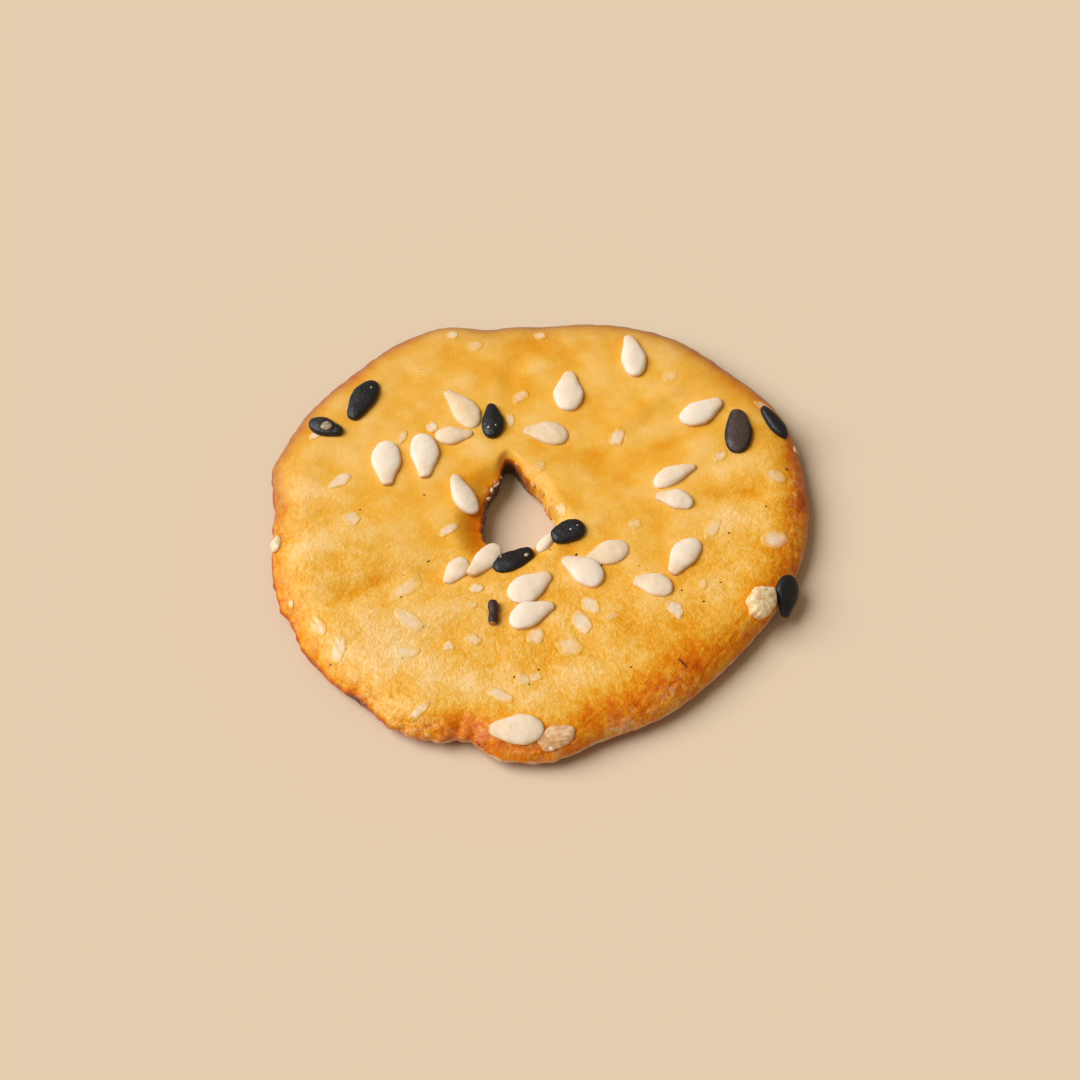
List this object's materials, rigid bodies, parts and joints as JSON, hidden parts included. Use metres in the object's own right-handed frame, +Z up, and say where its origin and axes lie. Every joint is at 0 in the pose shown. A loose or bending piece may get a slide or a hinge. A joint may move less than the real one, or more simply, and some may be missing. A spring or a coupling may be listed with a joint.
{
  "type": "sesame pretzel cracker",
  "caption": "thin baked ring cracker with a drop-shaped hole, topped with white and black sesame seeds, salt flakes and dried garlic",
  "frame": {"origin": "centre of the bounding box in plan, on the surface the cracker lies on", "axes": "+Z up, +X along the longest side, +Y away from the front edge"},
  "size_m": [0.0419, 0.0399, 0.0039],
  "materials": {
    "baked_crust": "golden baked dough, browned at the rim, slightly glossy"
  },
  "bodies": {
    "root": {"cracker": "baked_crust"}
  },
  "joints": []
}
